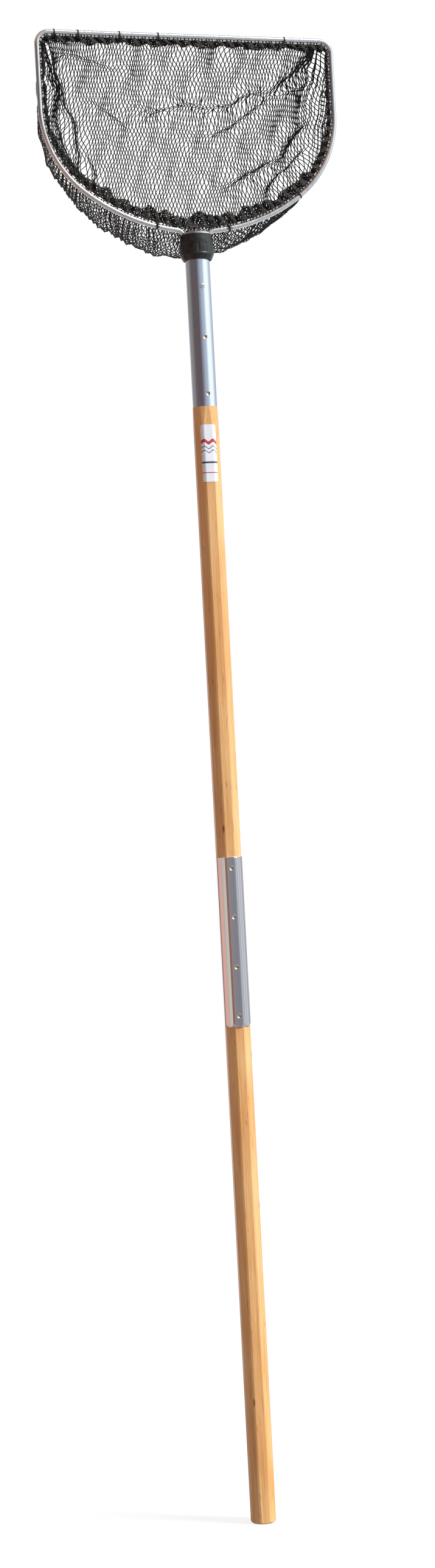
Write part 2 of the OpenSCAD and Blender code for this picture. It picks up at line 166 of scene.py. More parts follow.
# The sleeve's eight drawn faces are each slightly crowned, which spreads what they mirror into
# upright bands.
def crown_faces(tree, place, normal):
    """A normal for crowned faces: each drops from its middle line by the square of the tangent of
    the angle from that line, which is a curve of CROWN_R radius."""
    CROWN_R, EIGHTH = 85, math.pi / 4
    parts = add(tree, "ShaderNodeSeparateXYZ", {"Vector": place}).outputs
    angle = add(tree, "ShaderNodeMath", {0: parts["Y"], 1: parts["X"]}, operation="ARCTAN2")
    turned = add(tree, "ShaderNodeMath", {
        0: angle.outputs[0], 1: math.radians(90 - SLEEVE_AZIMUTH),
    }, operation="ADD")
    local = add(tree, "ShaderNodeMath", {
        0: turned.outputs[0], 1: EIGHTH / 2, 2: -EIGHTH / 2,
    }, operation="WRAP")
    slope = add(tree, "ShaderNodeMath", {0: local.outputs[0]}, operation="TANGENT").outputs[0]
    drop = add(tree, "ShaderNodeMath", {0: slope, 1: slope}, operation="MULTIPLY")
    crown = add(tree, "ShaderNodeMath", {0: drop.outputs[0], 1: -1.0}, operation="MULTIPLY")
    return add(tree, "ShaderNodeBump", {
        "Height": crown.outputs[0], "Strength": 1.0, "Normal": normal,
        "Distance": SLEEVE_R ** 2 / (2 * CROWN_R) * MM,
    }).outputs["Normal"]


# Drawn and lightly polished aluminium: long draw lines and a few cross scuffs, so that highlights
# run the whole length with soft ragged edges. Real draw lines are far finer than a millimetre;
# they are drawn 0.8 to 3 mm wide so that they show.
def drawn_aluminium(name, colour, rough_low, rough_high, line_mm, line_strength, crowned=False):
    mat, tree, place = start(name)
    lines = grain(tree, place, (line_mm, line_mm, 900), 3.0, (0.4, 0.1, 0))
    scuff = grain(tree, place, (5, 5, 0.9), 2.0, (2, 5, 1), 0.6)
    tone = add(tree, "ShaderNodeValToRGB", {"Fac": lines}, [(0.3, colour), (0.62, "#f0f2f5")])
    own = add(tree, "ShaderNodeMix", {
        FACTOR: 0.35, FIRST: linear(colour), SECOND: tone.outputs["Color"],
    }, **BLEND)
    marks = add(tree, "ShaderNodeMapRange", {
        "Value": scuff, "From Min": 0.62, "From Max": 0.72, "To Max": 0.06,
    })
    rough = add(tree, "ShaderNodeMapRange", {
        "Value": lines, "From Min": 0.3, "From Max": 0.7, "To Min": rough_low, "To Max": rough_high,
    })
    total = add(tree, "ShaderNodeMath", {
        0: rough.outputs["Result"], 1: marks.outputs["Result"],
    }, operation="ADD")
    normal = add(tree, "ShaderNodeBump", {
        "Height": lines, "Strength": line_strength, "Distance": 0.05 * MM,
    }).outputs["Normal"]
    return surface(mat, {
        "Base Color": own.outputs[MIXED], "Roughness": total.outputs["Value"], "Metallic": 1.0,
        "Normal": crown_faces(tree, place, normal) if crowned else normal,
    })


# Turned aluminium: fine lathe rings across the axis.
def turned_aluminium():
    mat, tree, place = start("turned_aluminium")
    lathe = grain(tree, place, (260, 260, 0.45), 2.0)
    rough = add(tree, "ShaderNodeMapRange", {
        "Value": lathe, "From Min": 0.3, "From Max": 0.7, "To Min": 0.22, "To Max": 0.36,
    })
    relief = add(tree, "ShaderNodeBump", {
        "Height": lathe, "Strength": 0.25, "Distance": 0.05 * MM,
    })
    return surface(mat, {
        "Base Color": linear("#d2d4d6"), "Metallic": 1.0,
        "Roughness": rough.outputs["Result"], "Normal": relief.outputs["Normal"],
    })


# Injection-moulded black nylon: near black with a faint green cast, and a fine eroded grain that
# spreads the highlight on the grips.
def moulded_black_nylon():
    mat, tree, place = start("moulded_black_nylon")
    skin = grain(tree, place, (0.55, 0.55, 0.55), 2.0)
    cloud = grain(tree, place, (9, 9, 6), 2.0, (1, 4, 2))
    colour = add(tree, "ShaderNodeValToRGB", {"Fac": cloud}, [(0.35, "#121615"), (0.65, "#1f2523")])
    rough = add(tree, "ShaderNodeMapRange", {
        "Value": cloud, "From Min": 0.35, "From Max": 0.65, "To Min": 0.3, "To Max": 0.42,
    })
    relief = add(tree, "ShaderNodeBump", {
        "Height": skin, "Strength": 0.22, "Distance": 0.06 * MM,
    })
    return surface(mat, {
        "Base Color": colour.outputs["Color"], "Roughness": rough.outputs["Result"],
        "Normal": relief.outputs["Normal"], "IOR": 1.53,
    })


def mottled(name, cell_mm, detail, stops, strength, depth_mm, constants):
    """a finish in which one noise pattern gives both the colour, by its stops, and the relief"""
    mat, tree, place = start(name)
    skin = grain(tree, place, (cell_mm, cell_mm, cell_mm), detail)
    colour = add(tree, "ShaderNodeValToRGB", {"Fac": skin}, stops)
    relief = add(tree, "ShaderNodeBump", {
        "Height": skin, "Strength": strength, "Distance": depth_mm * MM,
    })
    return surface(mat, {
        "Base Color": colour.outputs["Color"], "Normal": relief.outputs["Normal"], **constants,
    })


# Black polyester twine: twisted and knotted by machine. Its twist, about 0.5 mm, is drawn at
# 0.9 mm so that it shows; a little sheen lightens threads seen edge on.
def knotted_twine(name, dark, light):
    return mottled(name, 0.9, 1.0, [(0.35, dark), (0.7, light)], 0.5, 0.2, {
        "IOR": 1.5, "Roughness": 0.7, "Sheen Weight": 0.12, "Sheen Roughness": 0.4,
    })


# Generic print on the label: each line's height as a share of the label's, its half thickness
# and its swing as shares too, and its colour
PRINT = [
    (0.70, 0.030, 0.022, "#b9404a"), (0.60, 0.010, 0.022, "#7c8496"),
    (0.53, 0.010, 0.022, "#7c8496"), (0.34, 0.016, 0.0, "#3c4558"),
    (0.16, 0.008, 0.0, "#b9404a"),
]
WAVE = 14 * MM


# Printed vinyl: white gloss film with three plain waves and two bars in place of any mark.
def printed_vinyl(low_z, high_z):
    mat, tree, place = start("printed_vinyl")
    parts = add(tree, "ShaderNodeSeparateXYZ", {"Vector": place})
    across, up = parts.outputs["X"], parts.outputs["Z"]
    film = grain(tree, place, (20, 20, 30), 1.0)
    colour = add(tree, "ShaderNodeValToRGB", {"Fac": film}, [
        (0.3, "#e2ebf6"), (0.7, "#f1f8ff"),
    ]).outputs["Color"]
    height = high_z - low_z
    for share, thick, swing, code in PRINT:
        turn = add(tree, "ShaderNodeMath", {0: across, 1: 2 * math.pi / WAVE}, operation="MULTIPLY")
        wave = add(tree, "ShaderNodeMath", {0: turn.outputs[0]}, operation="SINE")
        crest = add(tree, "ShaderNodeMath", {
            0: wave.outputs[0], 1: swing * height, 2: low_z + share * height,
        }, operation="MULTIPLY_ADD")
        off = add(tree, "ShaderNodeMath", {0: up, 1: crest.outputs[0]}, operation="SUBTRACT")
        gap = add(tree, "ShaderNodeMath", {0: off.outputs[0]}, operation="ABSOLUTE")
        on = add(tree, "ShaderNodeMath", {
            0: gap.outputs[0], 1: thick * height,
        }, operation="LESS_THAN")
        colour = add(tree, "ShaderNodeMix", {
            FACTOR: on.outputs[0], FIRST: colour, SECOND: linear(code),
        }, **BLEND).outputs[MIXED]
    return surface(mat, {
        "Base Color": colour, "IOR": 1.5, "Roughness": 0.3,
        "Coat Weight": 0.5, "Coat Roughness": 0.1,
    })


label_low, label_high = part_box("pole_label")
WOOD = varnished_softwood()
NYLON = moulded_black_nylon()
TURNED = turned_aluminium()
TWINE = knotted_twine("knotted_black_twine", "#08080a", "#1b1b1e")
CORD = knotted_twine("braided_black_cord", "#060607", "#151517")
# Bright zinc plate on steel: slightly yellow, with a cloudy passivated film
ZINC = mottled("zinc_plated_steel", 1.6, 2.0, [(0.35, "#b9a992"), (0.6, "#dedbd3")], 0.1, 0.05, {
    "Metallic": 1.0, "Roughness": 0.24,
})
# Galvanised wire: pale grey, dull bright, with a fine spangle along its length
GALVANISED = mottled("galvanised_wire", 2.2, 2.0, [
    (0.35, "#c9c7c1"), (0.62, "#f1efe9"),
], 0.15, 0.05, {"Metallic": 0.75, "Roughness": 0.42})
# Unpigmented moulded nylon: cream, slightly waxy
CREAM_NYLON = mottled("natural_nylon", 1.2, 2.0, [(0.3, "#d3cdbd"), (0.7, "#e6e2d6")], 0.08, 0.05, {
    "IOR": 1.53, "Roughness": 0.45,
})
# Pressed rubber: dull dark grey with a dusty bloom
RUBBER = mottled("pressed_rubber", 1.5, 3.0, [(0.35, "#141518"), (0.7, "#26272a")], 0.2, 0.08, {
    "IOR": 1.52, "Roughness": 0.75,
})
FINISHES = {
    "lower_pole": WOOD,
    "upper_pole": WOOD,
    "joint_sleeve": drawn_aluminium(
        "polished_drawn_aluminium", "#d9dadc", 0.06, 0.13, 1.7, 0.4, crowned=True),
    "sleeve_screws_lower": ZINC,
    "sleeve_screws_upper": ZINC,
    "pole_label": printed_vinyl(label_low.z, label_high.z),
    "ferrule_tube": drawn_aluminium("bright_drawn_aluminium", "#cdd3dc", 0.16, 0.26, 0.8, 0.25),
    "ferrule_screws": ZINC,
    "ferrule_rivet": TURNED,
    "socket_bush": NYLON,
    "slip_washer": CREAM_NYLON,
    "union_nut": NYLON,
    "seat_washer": RUBBER,
    "head_plug": TURNED,
    "head_spigot": TURNED,
    "hoop": drawn_aluminium("drawn_aluminium_rod", "#d6d6d4", 0.2, 0.3, 3.0, 0.1),
    "rim_wire": GALVANISED,
    "top_ties": CORD,
    "lower_ties": CORD,
    "net_bag": TWINE,
}
for node_name, finish in FINISHES.items():
    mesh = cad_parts[node_name].data
    mesh.materials.clear()
    mesh.materials.append(finish)


# ---------------------------------------------------------------- meshes


def piece(name, points, faces, finish, slot, body="head"):
    """a piece from points in millimetres and faces of equal sides, both as whole arrays"""
    points, faces = np.asarray(points, np.float32).reshape(-1, 3), np.asarray(faces, np.int32)
    mesh = bpy.data.meshes.new(name)
    mesh.vertices.add(len(points))
    mesh.vertices.foreach_set("co", (points * MM).ravel())
    mesh.loops.add(faces.size)
    mesh.loops.foreach_set("vertex_index", faces.ravel())
    mesh.polygons.add(len(faces))
    first_corner = np.arange(len(faces), dtype=np.int32) * faces.shape[1]
    mesh.polygons.foreach_set("loop_start", first_corner)
    mesh.polygons.foreach_set("use_smooth", np.full(len(faces), True))
    mesh.update(calc_edges=True)
    mesh.validate()
    mesh.materials.append(finish)
    obj = bpy.data.objects.new(name, mesh)
    bpy.context.scene.collection.objects.link(obj)
    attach(obj, body)
    return obj


def unit(v):
    """each vector over its length"""
    return v / np.maximum(np.linalg.norm(v, axis=-1, keepdims=True), 1e-9)


def wall(rows, sides):
    """Point numbers of the four corners of each cell of a wall of rows, closed round: the cell's
    own, the next round, the one beyond that in the next row, and the own one's in the next row."""
    i, k = np.meshgrid(np.arange(rows - 1), np.arange(sides), indexing="ij")
    up = (k + 1) % sides
    return i * sides + k, i * sides + up, (i + 1) * sides + up, (i + 1) * sides + k


def repeated(face, size, count):
    """the faces of count copies of a shape of size points"""
    return (np.arange(count)[:, None, None] * size + face).reshape(-1, face.shape[1])


def threads(points, pairs, radius):
    """Straight threads of four sides: each pair's two ends plus radius times (cos, sin) of two
    directions square to the thread, with a square face closing each end."""
    a, b = points[pairs[:, 0]], points[pairs[:, 1]]
    along = unit(b - a)
    side = unit(np.cross(along, [0.13, 0.98, 0.15]))
    rise = np.cross(along, side)
    turn = (np.arange(4) + 0.5) * math.pi / 2
    ring = side[:, None] * np.cos(turn)[:, None] + rise[:, None] * np.sin(turn)[:, None]
    verts = np.stack([a[:, None] + radius * ring, b[:, None] + radius * ring], 1)
    k = np.arange(4)
    side_faces = np.stack([k, (k + 1) % 4, 4 + (k + 1) % 4, 4 + k], 1)
    face = np.concatenate([side_faces, [[3, 2, 1, 0], [4, 5, 6, 7]]])
    return verts, repeated(face, 8, len(pairs))


def knots(points, radius):
    """Octahedra: each point plus and minus radius along the three axes."""
    tips = np.concatenate([np.eye(3), -np.eye(3)])[[0, 3, 1, 4, 2, 5]] * radius
    face = np.array([
        [0, 2, 4], [2, 1, 4], [1, 3, 4], [3, 0, 4], [2, 0, 5], [1, 2, 5], [3, 1, 5], [0, 3, 5],
    ])
    return points[:, None] + tips, repeated(face, 6, len(points))


def rings(centres, across, deep, ring_r, thread_r, turns=8):
    """Closed loops of four sides: centre + ring_r (cos t across + sin t deep), with the thread's
    section of radius thread_r set along that spoke and along the loop's axis."""
    t = np.arange(turns) * 2 * math.pi / turns
    spoke = np.cos(t)[None, :, None] * across[:, None] + np.sin(t)[None, :, None] * deep[:, None]
    axis = np.cross(across, deep)[:, None]
    s = np.arange(4) * math.pi / 2
    verts = (centres[:, None] + ring_r * spoke)[:, :, None] + thread_r * (
        np.cos(s)[:, None] * spoke[:, :, None] + np.sin(s)[:, None] * axis[:, :, None])
    i, k = np.meshgrid(np.arange(turns), np.arange(4), indexing="ij")
    nxt, up = (i + 1) % turns, (k + 1) % 4
    face = np.stack([i * 4 + k, nxt * 4 + k, nxt * 4 + up, i * 4 + up], -1).reshape(-1, 4)
    return verts, repeated(face, turns * 4, len(centres))


def tube(path, radius, ref):
    """A profile of eight sides carried along a path: point + radius times (cos, sin) of two
    directions square to the path, the first of them square to ref too; three faces close an end."""
    path = np.asarray(path, float)
    along = unit(np.gradient(path, axis=0))
    side = unit(np.cross(along, ref))
    rise = np.cross(along, side)
    s = np.arange(8) * math.pi / 4
    round_it = np.cos(s)[:, None] * side[:, None] + np.sin(s)[:, None] * rise[:, None]
    verts = path[:, None] + radius * round_it
    sides = np.stack(wall(len(path), 8), -1).reshape(-1, 4)
    cap = np.array([[0, 1, 2, 3], [0, 3, 4, 7], [4, 5, 6, 7]])
    return verts.reshape(-1, 3), np.concatenate([sides, cap[:, ::-1], cap + (len(path) - 1) * 8])


def joined(parts):
    """several (points, faces) as one"""
    points, faces, base = [], [], 0
    for p, f in parts:
        p = np.asarray(p).reshape(-1, 3)
        points.append(p)
        faces.append(f + base)
        base += len(p)
    return np.concatenate(points), np.concatenate(faces)


# ---------------------------------------------------------------- netting


BAR = 7.68  # mesh bar from knot to knot
COLUMN, ROW = 4.3, 4.82  # the same netting crowded onto the hoop
CROWD_W, CROWD_H = 510, 330  # what the crowded netting covers before it is trimmed to the hoop
NET_COLUMNS, NET_ROWS = int(CROWD_W / COLUMN) + 2, int(CROWD_H / ROW) + 2
THREAD_R, KNOT_R = 0.84, 1.25
ROD_CLEAR = 5  # knots stay this far from the hoop's centre line
NUT_CLEAR = 3.5  # and this far outside the nut
FRONT = -1.0  # how far a knot may stand before the hoop's plane


def rim(x, z):
    """How far each point lies inside the hoop's centre line, and the outward direction there.
    The outline is a straight top and sides with rounded corners, a side curve, and a bottom
    curve: the distance is the smallest of those to the parts."""
    sign, a = np.where(x < 0, -1.0, 1.0), np.abs(x)
    qx, qz = a - (HOOP_HALF_W - CORNER_R), z - (HOOP_TOP_Z - CORNER_R)
    ox, oz = np.maximum(qx, 0), np.maximum(qz, 0)
    out = np.hypot(ox, oz)
    flat = out < 1e-6
    box = CORNER_R - out - np.minimum(np.maximum(qx, qz), 0)
    box_x = np.where(flat, (qx > qz) * 1.0, ox / np.maximum(out, 1e-6))
    box_z = np.where(flat, (qx <= qz) * 1.0, oz / np.maximum(out, 1e-6))
    sx, sz, lz = a - SIDE_CX, z - ARC_Z, z - LOW_CZ
    side_r, low_r = np.maximum(np.hypot(sx, sz), 1e-6), np.maximum(np.hypot(a, lz), 1e-6)
    on_side = (np.arctan2(sz, sx) > ARC_JOINT) & (sx > 0)
    arc = np.where(on_side, SIDE_R - side_r, LOW_R - low_r)
    arc_x = np.where(on_side, sx / side_r, a / low_r)
    arc_z = np.where(on_side, sz / side_r, lz / low_r)
    below = z < ARC_Z
    whole = np.where(below, arc, LOW_R - low_r)
    straight = np.where(below, HOOP_TOP_Z - z, box)
    curved = whole < straight
    nx = np.where(curved, np.where(below, arc_x, a / low_r), np.where(below, 0.0, box_x))
    nz = np.where(curved, np.where(below, arc_z, lz / low_r), np.where(below, 1.0, box_z))
    return np.minimum(whole, straight), nx * sign, nz


def links(keep):
    """pairs of knots that a mesh bar joins: each knot to the two below it"""
    index = np.where(keep, np.cumsum(keep).reshape(keep.shape) - 1, -1)
    even, odd = np.arange(0, len(keep) - 1, 2), np.arange(1, len(keep) - 1, 2)
    pairs = [
        (index[even], index[even + 1]), (index[even][:, 1:], index[even + 1][:, :-1]),
        (index[odd], index[odd + 1]), (index[odd][:, :-1], index[odd + 1][:, 1:]),
    ]
    both = np.concatenate([np.stack([a.ravel(), b.ravel()], 1) for a, b in pairs])
    return both[(both >= 0).all(1)]


def lay_netting(rng):
    """Knots before they hang, their bars, and which are fixed. They stand in staggered rows,
    spread wider towards the sides by a cubic. Those with fewer than four bars go to the rim wire,
    bunched along it by three sine waves; the rest bulge back by a curve that levels off inwards,
    and are shaken a little so that no row stays straight."""
    HALF_W, FIRST_ROW, EDGE_GAP = 250, 6.5, 0.4
    BULGE, BULGE_RUN, SAG, SHAKE = 70, 45, 10, 2
    j, i = np.arange(NET_ROWS)[:, None], np.arange(NET_COLUMNS)[None, :]
    u = (i - NET_COLUMNS / 2 + 0.25 + 0.5 * (j % 2)) / (NET_COLUMNS / 2)
    x = HALF_W * (1.3 * u - 0.3 * u ** 3)
    z = HOOP_TOP_Z - FIRST_ROW - j * ROW + 0 * i
    inset, nx, nz = rim(x, z)
    keep = inset > WIRE_IN + EDGE_GAP
    pairs = links(keep)
    x, z, inset, nx, nz = (q[keep] for q in (x, z, inset, nx, nz))
    n = len(x)
    degree = np.bincount(pairs.ravel(), minlength=n)
    fixed = degree < 4
    free = ~fixed
    at = np.stack([x, np.zeros(n), z], 1)
    phase = rng.uniform(0, 2 * math.pi, 6)
    angle = np.arctan2(z - 2290, x)
    bunch = sum(h * np.sin(k * angle + p) for h, k, p in zip((3.5, 3.0, 2.5), (9, 17, 29), phase))
    at[fixed, 0] += (nx * (inset - WIRE_IN) - nz * bunch)[fixed]
    at[fixed, 2] += (nz * (inset - WIRE_IN) + nx * bunch)[fixed]
    for _ in range(2):
        again, ax, az = rim(at[:, 0], at[:, 2])
        at[fixed, 0] += (ax * (again - WIRE_IN))[fixed]
        at[fixed, 2] += (az * (again - WIRE_IN))[fixed]
    bulge = (1 - np.exp(-(inset - WIRE_IN) / BULGE_RUN))[free]
    at[free, 1] = BULGE * bulge + rng.normal(0, SHAKE, free.sum())
    at[free, 2] += rng.normal(0, SHAKE, free.sum()) - SAG * bulge
    at[free, 0] += rng.normal(0, SHAKE, free.sum())
    return at, pairs, degree, fixed


def hang_netting(steps):
    """Knots as points and bars as links of one length, edge knots fixed on the rim wire. Each step
    moves every knot by its speed and by gravity, then pulls each bar back to its length, and
    keeps the knots behind the hoop, off the rod, and off the nut and ferrule."""
    STEP, KEPT_SPEED, TOP_SPEED = 0.002, 0.985, 3000
    SLACK_PUSH, OVER_CORRECT, EVEN_OUT = 0.1, 1.9, 0.01
    OUTSIDE, BACK_GAP, NUT_ABOVE = 2.0, 4, 3
    at, pairs, degree, fixed = lay_netting(np.random.default_rng(7))
    n, (a, b), free = len(at), pairs.T, ~fixed
    moves = free.astype(float)
    share = np.maximum(moves[a] + moves[b], 1e-9)
    per_knot = (moves / np.maximum(degree, 1))[:, None]
    pull = np.array([0.0, 0.6, -0.8]) * 4400.0
    speed = np.zeros_like(at)
    change = np.empty_like(at)
    for _ in range(steps):
        speed = (speed + pull * STEP) * KEPT_SPEED
        new = at + speed * STEP * moves[:, None]
        for _ in range(2):
            bar = new[b] - new[a]
            length = np.sqrt((bar * bar).sum(1))
            slack = length - BAR
            push = np.where(slack > 0, slack, SLACK_PUSH * slack)
            part = -push / np.maximum(length, 1e-6) / share
            for k in range(3):
                fix = part * bar[:, k]
                change[:, k] = np.bincount(b, fix, n) - np.bincount(a, fix, n)
            new += change * per_knot * OVER_CORRECT
        for k in range(3):
            change[:, k] = np.bincount(a, new[b, k], n) + np.bincount(b, new[a, k], n)
        new += (change * per_knot - new * moves[:, None]) * EVEN_OUT
        depth = rim(new[:, 0], new[:, 2])[0]
        ahead = np.where(depth > 0, FRONT, OUTSIDE)
        near = np.abs(depth) < ROD_CLEAR
        ahead[near] = np.sqrt(ROD_CLEAR ** 2 - depth[near] ** 2)
        new[:, 1] = np.where(free, np.clip(new[:, 1], ahead, BAG_BACK_Y - BACK_GAP), new[:, 1])
        r = np.hypot(new[:, 0], new[:, 1])
        hit = free & (new[:, 2] < NUT_TOP_Z + NUT_ABOVE) & (r < NUT_R + NUT_CLEAR)
        new[hit, :2] *= ((NUT_R + NUT_CLEAR) / np.maximum(r[hit], 1e-6))[:, None]
        speed = (new - at) / STEP
        fast = np.sqrt((speed * speed).sum(1))
        speed *= np.minimum(1, TOP_SPEED / np.maximum(fast, 1))[:, None]
        at = new
    return at, pairs, fixed


# Folds where slack netting has bunched: points (x, z) down each fold, its half width, how much
# of the netting beside it is drawn in, and how far it stands forward
FOLDS = [
    ([(-226, 2382), (-214, 2321), (-194, 2256), (-166, 2206)], 10, 0.74, 9),
    ([(-217, 2409), (-152, 2401), (-95, 2385)], 8, 0.70, 6),
    ([(-236, 2420), (-202, 2351), (-175, 2287), (-171, 2236), (-128, 2195)], 10, 0.74, 9),
    ([(-179, 2341), (-126, 2330), (-70, 2293)], 6, 0.60, 5),
    ([
        (226, 2420), (190, 2392), (152, 2372), (88, 2344), (30, 2340), (-48, 2334), (-110, 2334),
    ], 9, 0.78, 8),
    ([(234, 2381), (200, 2368), (155, 2361), (106, 2321), (58, 2300), (11, 2296)], 7, 0.70, 6),
    ([(232, 2322), (214, 2309), (180, 2271), (131, 2239), (75, 2214)], 11, 0.80, 9),
    ([(229, 2288), (211, 2265), (178, 2242), (151, 2204)], 10, 0.80, 8),
    ([(-160, 2268), (-140, 2230), (-150, 2200)], 6, 0.6, 5),
    ([(-60, 2240), (0, 2246), (70, 2238), (120, 2248)], 5, 0.4, 3),
]


def gather(at, free):
    """Draws knots towards each fold line by a flat-topped bell curve of their distance from it
    (its exponent is the fourth power), and lifts them forward by a narrower bell. Both act inside
    the hoop only and fade out at the fold's ends. Then it adds a small slow wobble, a sum of sine
    waves in the three directions."""
    SPOTS, FADE_IN, FADE_OUT, LEAST = 60, 8, 14, 0.15
    DRAW_WIDTH, LIFT_WIDTH, RIM_GAP, RIM_FADE = 1.9, 0.8, 3, 12
    at = at.copy()
    inside = np.clip((rim(at[:, 0], at[:, 2])[0] - RIM_GAP) / RIM_FADE, 0, 1)
    rows = np.arange(len(at))
    for line, half, draw, lift in FOLDS:
        line = np.array(line, float)
        cut = np.linalg.norm(np.diff(line, axis=0), axis=1)
        run = np.concatenate([[0], np.cumsum(cut)])
        fine = np.linspace(0, run[-1], SPOTS)
        px = np.interp(fine, run, line[:, 0])
        pz = np.interp(fine, run, line[:, 1]) + 2.5 * np.sin(fine / 17)
        dx, dz = at[:, 0, None] - px, at[:, 2, None] - pz
        gap = dx * dx + dz * dz
        k = gap.argmin(1)
        dist = np.sqrt(gap[rows, k])
        ends = np.minimum(k / FADE_IN, (SPOTS - 1 - k) / FADE_OUT)
        fade = np.clip(ends + LEAST, 0, 1) * free * inside
        bell = np.exp(-(dist / (DRAW_WIDTH * half)) ** 4) * draw * fade
        at[:, 0] -= dx[rows, k] * bell
        at[:, 2] -= dz[rows, k] * bell
        at[:, 1] -= lift * np.exp(-(dist / (LIFT_WIDTH * half)) ** 2) * fade
    rng = np.random.default_rng(11)
    for wave in np.linspace(13, 60, 9):
        way = rng.uniform(0, 2 * math.pi)
        phase = rng.uniform(0, 2 * math.pi, 3)
        t = (at[:, 0] * math.cos(way) + at[:, 2] * math.sin(way)) * 2 * math.pi / wave
        size = 0.32 + wave / 110
        at += (size * free)[:, None] * np.sin(t[:, None] + phase) * [0.8, 1.4, 0.8]
    depth = rim(at[:, 0], at[:, 2])[0]
    off_rod = np.sqrt(np.maximum(ROD_CLEAR ** 2 - depth ** 2, 0))
    ahead = np.where(np.abs(depth) < ROD_CLEAR, off_rod, FRONT)
    at[:, 1] = np.where(free, np.clip(at[:, 1], ahead, BAG_BACK_Y), at[:, 1])
    return at


net_at, net_pairs, net_fixed = hang_netting(1800)
net_at = gather(net_at, ~net_fixed)
net = piece("net_bag_meshes", *threads(net_at, net_pairs, THREAD_R), TWINE, "net_twine")
net_knots = piece("net_bag_knots", *knots(net_at, KNOT_R), TWINE, "net_twine")


# ---------------------------------------------------------------- gathered edge


EDGE_R, EDGE_PITCH, EDGE_ROWS = 0.95, 1.9, 10
LOOP_PITCH, LOOP_CLEAR = 6.1, 0.75


def wire_line():
    """Points round the wire's line from the bottom middle, and the length run up to each: the arcs
    of the hoop's right half, each less the wire's inset, then the same mirrored."""
    MEET = -53.13
    corner = (HOOP_HALF_W - CORNER_R, HOOP_TOP_Z - CORNER_R, CORNER_R - WIRE_IN)
    half = [(a, 0, LOW_CZ, LOW_R - WIRE_IN) for a in np.radians(np.linspace(-90, MEET, 60))]
    half += [(a, SIDE_CX, ARC_Z, SIDE_R - WIRE_IN) for a in np.radians(np.linspace(MEET, 0, 50))]
    half += [(a, *corner) for a in np.radians(np.linspace(0, 90, 14))]
    a, cx, cz, rad = np.array(half, float).T
    right = np.stack([cx + rad * np.cos(a), np.zeros(len(a)), cz + rad * np.sin(a)], 1)
    loop = np.concatenate([right, right[::-1] * [-1, 1, 1]])
    run = np.concatenate([[0], np.cumsum(np.linalg.norm(np.diff(loop, axis=0), axis=1))])
    return loop, run


WIRE, WIRE_RUN = wire_line()
WIRE_LENGTH = WIRE_RUN[-1]


def along_wire(s):
    """position and inward direction at lengths s along the wire, from the bottom middle round"""
    s = np.mod(s, WIRE_LENGTH)
    at = np.stack([np.interp(s, WIRE_RUN, WIRE[:, k]) for k in range(3)], 1)
    nx, nz = rim(at[:, 0], at[:, 2])[1:]
    return at, -np.stack([nx, np.zeros(len(nx)), nz], 1)


def ruffle():
    """The netting's edge, gathered on the wire: a strip of crowded meshes. Row by row it goes
    inwards from the wire, with a sideways zigzag, a ruffle in and out as a sine along the
    wire, and small random shifts. It is widest along the bottom curve."""
    rng = np.random.default_rng(3)
    count = int(WIRE_LENGTH / EDGE_PITCH)
    s = np.arange(count) * WIRE_LENGTH / count
    base = along_wire(s)[0]
    low = np.clip((2330 - base[:, 2]) / 150, 0, 1)
    middle = np.exp(-(base[:, 0] / 150) ** 2) * (base[:, 2] < 2300)
    top = (base[:, 2] > 2430) * 1.0
    width = 5.5 + 9 * low + 6 * middle + 5 * top
    width = width * (1 + 0.3 * np.sin(s / 23 + 1) * np.sin(s / 9.1) + 0.12 * np.sin(s / 4.3))
    grid = []
    for j in range(EDGE_ROWS):
        t = j / (EDGE_ROWS - 1)
        drift = 3 * np.sin(s / 19 + 3 * t) * t
        slide = rng.normal(0, 0.8, count) + drift + 0.5 * EDGE_PITCH * (j % 2)
        at, inward = along_wire(s + slide * min(1, 3 * t))
        go = width * t * (1 + rng.normal(0, 0.06, count))
        wave = 3.2 * np.sin(s / 2.9 + 2 * t) * np.sin(math.pi * t * 0.8)
        puff = wave + rng.normal(0, 1.1, count) * t
        row = at + inward * go[:, None]
        row[:, 1] += np.clip(puff - 0.5, -4.5, 9)
        grid.append(row)
    index = np.arange(EDGE_ROWS * count).reshape(EDGE_ROWS, count)
    pairs = []
    for j in range(EDGE_ROWS - 1):
        pairs.append(np.stack([index[j], index[j + 1]], 1))
        pairs.append(np.stack([index[j], np.roll(index[j + 1], 1 if j % 2 == 0 else -1)], 1))
    return np.stack(grid).reshape(-1, 3), np.concatenate(pairs)


edge = piece("net_edge_ruffle", *threads(*ruffle(), EDGE_R), CORD, "net_twine")

loop_s = np.arange(0, WIRE_LENGTH, LOOP_PITCH)
loop_s = loop_s + np.random.default_rng(5).normal(0, 0.9, len(loop_s))
loop_at, loop_in = along_wire(loop_s)
loop_deep = np.tile([0.0, 1.0, 0.0], (len(loop_s), 1))
loops = piece("net_wire_loops", *rings(
    loop_at, loop_in, loop_deep, WIRE_R + LOOP_CLEAR, THREAD_R), TWINE, "net_twine")

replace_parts(net, "net_bag")


# ---------------------------------------------------------------- ties


